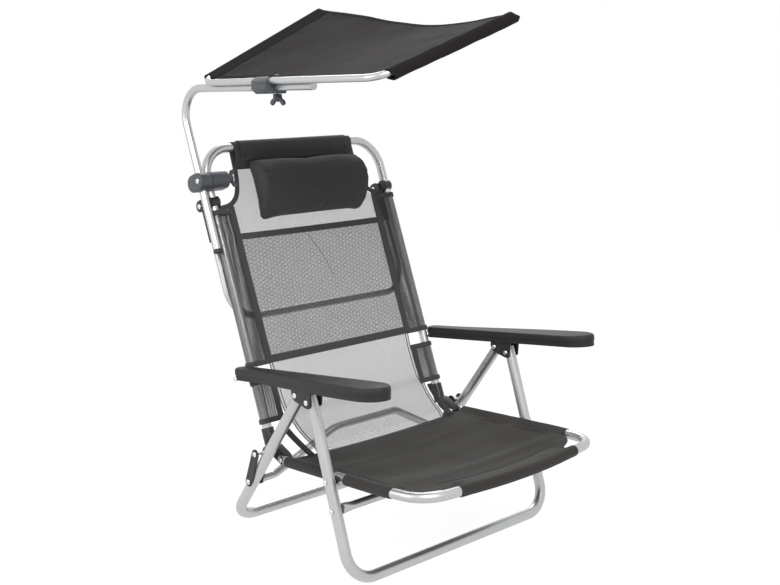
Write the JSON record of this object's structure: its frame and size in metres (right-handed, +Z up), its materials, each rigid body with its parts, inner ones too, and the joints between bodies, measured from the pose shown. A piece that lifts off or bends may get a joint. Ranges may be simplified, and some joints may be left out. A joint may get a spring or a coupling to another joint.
{
  "type": "sun lounger",
  "caption": "Low folding beach lounger: bent tube legs, sling seat, net back with head pillow, plastic armrests and a clamp-on sunshade on a bent post.",
  "frame": {"origin": "centre of the bounding box on the floor", "axes": "+Z up, the sitter faces -Y, +X is the sitter's left"},
  "size_m": [0.63, 0.7406, 1.0373],
  "materials": {
    "black_plastic": "matt",
    "bright_rivet": "bright",
    "clamp_plastic": "matt",
    "grey_plastic": "matt",
    "net_cloth": "net",
    "satin_aluminium": "satin",
    "sling_cloth": "woven"
  },
  "bodies": {
    "seat": {"seat_frame": "satin_aluminium", "seat_sling": "sling_cloth", "crease_strip": "net_cloth", "seat_spacer_right": "black_plastic", "seat_spacer_left": "black_plastic"},
    "front_legs": {"front_leg_frame": "satin_aluminium", "front_cross_bar": "satin_aluminium", "cross_bar_rivet_right": "bright_rivet", "cross_bar_rivet_left": "bright_rivet", "seat_pivot_rivet_right": "bright_rivet", "seat_pivot_rivet_left": "bright_rivet"},
    "armrest_right": {"armrest_right": "grey_plastic", "arm_bracket_right": "black_plastic", "front_leg_rivet_right": "bright_rivet", "rear_leg_rivet_right": "bright_rivet", "arm_pivot_rivet_right": "bright_rivet"},
    "armrest_left": {"armrest_left": "grey_plastic", "arm_bracket_left": "black_plastic", "front_leg_rivet_left": "bright_rivet", "rear_leg_rivet_left": "bright_rivet", "arm_pivot_rivet_left": "bright_rivet"},
    "rear_legs": {"rear_leg_frame": "satin_aluminium", "link_low_rivet_right": "bright_rivet", "link_low_rivet_left": "bright_rivet"},
    "links": {"link_tie_bar": "satin_aluminium", "link_outer_right": "black_plastic", "link_outer_left": "black_plastic", "link_inner_right": "black_plastic", "link_inner_left": "black_plastic", "link_top_rivet_right": "bright_rivet", "link_top_rivet_left": "bright_rivet"},
    "backrest": {"backrest_frame": "satin_aluminium", "backrest_net": "net_cloth", "head_pillow": "sling_cloth", "pillow_flap": "sling_cloth", "back_knuckle_right": "black_plastic", "back_knuckle_left": "black_plastic", "seat_hinge_rivet_right": "bright_rivet", "seat_hinge_rivet_left": "bright_rivet", "bow_bracket_right": "black_plastic", "bow_bracket_left": "black_plastic", "bow_rivet_right": "bright_rivet", "bow_rivet_left": "bright_rivet", "clamp_inner": "clamp_plastic"},
    "prop_bow": {"prop_bow": "satin_aluminium", "bow_socket_right": "black_plastic", "bow_socket_left": "black_plastic"},
    "post_clamp": {"clamp_outer": "clamp_plastic", "clamp_bolt": "bright_rivet"},
    "clamp_knob": {"clamp_knob": "black_plastic"},
    "canopy_post": {"canopy_post": "satin_aluminium", "post_plug": "black_plastic"},
    "shade_clamp": {"shade_jaw_lower": "clamp_plastic", "shade_jaw_upper": "clamp_plastic", "shade_bolt": "bright_rivet"},
    "wing_nut": {"wing_nut": "black_plastic"},
    "canopy": {"canopy_frame": "satin_aluminium", "canopy_cover": "sling_cloth"}
  },
  "joints": [
    {"name": "backrest_fold", "type": "hinge", "parent": "seat", "child": "backrest", "pos_m": [0, 0.04854, 0.168], "axis": [1, 0, 0], "range_deg": [0, 35], "deforming": ["crease_strip"]},
    {"name": "front_leg_fold", "type": "hinge", "parent": "seat", "child": "front_legs", "pos_m": [0, -0.12796, 0.18786], "axis": [1, 0, 0], "range_deg": [0, 39.86]},
    {"name": "arm_right_fold", "type": "hinge", "parent": "front_legs", "child": "armrest_right", "pos_m": [-0.275, -0.07296, 0.3268], "axis": [1, 0, 0], "range_deg": [-32.2, 0]},
    {"name": "arm_left_fold", "type": "hinge", "parent": "front_legs", "child": "armrest_left", "pos_m": [0.275, -0.07296, 0.3268], "axis": [1, 0, 0], "range_deg": [-32.2, 0]},
    {"name": "rear_leg_fold", "type": "hinge", "parent": "armrest_right", "child": "rear_legs", "pos_m": [0, -0.03976, 0.3323], "axis": [1, 0, 0], "range_deg": [0, 0.4]},
    {"name": "link_fold", "type": "hinge", "parent": "rear_legs", "child": "links", "pos_m": [0, 0.09804, 0.1158], "axis": [1, 0, 0], "range_deg": [-65.55, 0]},
    {"name": "bow_swing", "type": "hinge", "parent": "backrest", "child": "prop_bow", "pos_m": [0, 0.32064, 0.62806], "axis": [1, 0, 0], "range_deg": [0, 100]},
    {"name": "post_lean", "type": "hinge", "parent": "backrest", "child": "post_clamp", "pos_m": [-0.259, 0.29422, 0.68497], "axis": [1, 0, 0], "range_deg": [-12, 0]},
    {"name": "post_turn", "type": "hinge", "parent": "post_clamp", "child": "canopy_post", "pos_m": [-0.259, 0.30834, 0.67859], "axis": [0, 0.4115, 0.9114], "range_deg": [-30, 60]},
    {"name": "knob_turn", "type": "hinge", "parent": "post_clamp", "child": "clamp_knob", "pos_m": [-0.2, 0.29422, 0.68497], "axis": [1, 0, 0], "continuous": true},
    {"name": "shade_slide", "type": "slide", "parent": "canopy_post", "child": "shade_clamp", "axis": [0, -0.996, 0.0889], "range_m": [-0.08, 0.08]},
    {"name": "shade_tilt", "type": "hinge", "parent": "shade_clamp", "child": "canopy", "pos_m": [-0.2745, 0.08693, 0.89542], "axis": [0, -0.996, 0.0889], "range_deg": [0, 25]},
    {"name": "wing_nut_turn", "type": "hinge", "parent": "shade_clamp", "child": "wing_nut", "pos_m": [-0.2445, 0.08604, 0.88542], "axis": [0, 0.0889, 0.996], "continuous": true}
  ],
  "couplings": [
    {"joint": "front_leg_fold", "follows": "backrest_fold", "ratio": 1.1375},
    {"joint": "arm_right_fold", "follows": "backrest_fold", "ratio": -0.9185},
    {"joint": "arm_left_fold", "follows": "backrest_fold", "ratio": -0.9185},
    {"joint": "rear_leg_fold", "follows": "backrest_fold", "ratio": 0.01},
    {"joint": "link_fold", "follows": "backrest_fold", "ratio": -1.8714}
  ]
}
